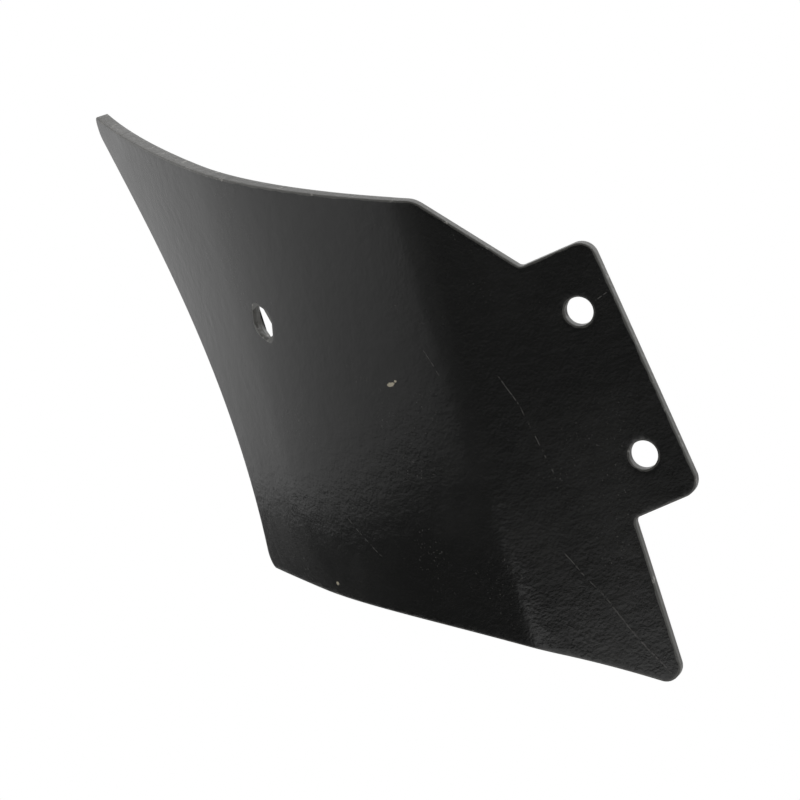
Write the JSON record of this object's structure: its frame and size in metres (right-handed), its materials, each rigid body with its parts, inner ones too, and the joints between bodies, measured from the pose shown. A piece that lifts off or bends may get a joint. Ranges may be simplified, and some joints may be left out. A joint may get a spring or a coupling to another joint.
{
  "type": "plough trash board",
  "caption": "Bent steel board for a plough: curved wing with a square countersunk hole, flat tongue with round bolt holes.",
  "frame": {"origin": "on the tongue's outer face, midway between the two round bolt holes", "axes": "-Y is the tongue's outward face normal, along the bolts; +Z runs along the row of bolt holes towards the wing's upper end; +X points away from the wing, which bends back towards +Y"},
  "size_m": [0.2678, 0.2242, 0.3269],
  "materials": {
    "painted_plate": "gloss black paint on steel plate, lightly orange-peeled"
  },
  "bodies": {
    "root": {"plough_board": "painted_plate"}
  },
  "joints": []
}
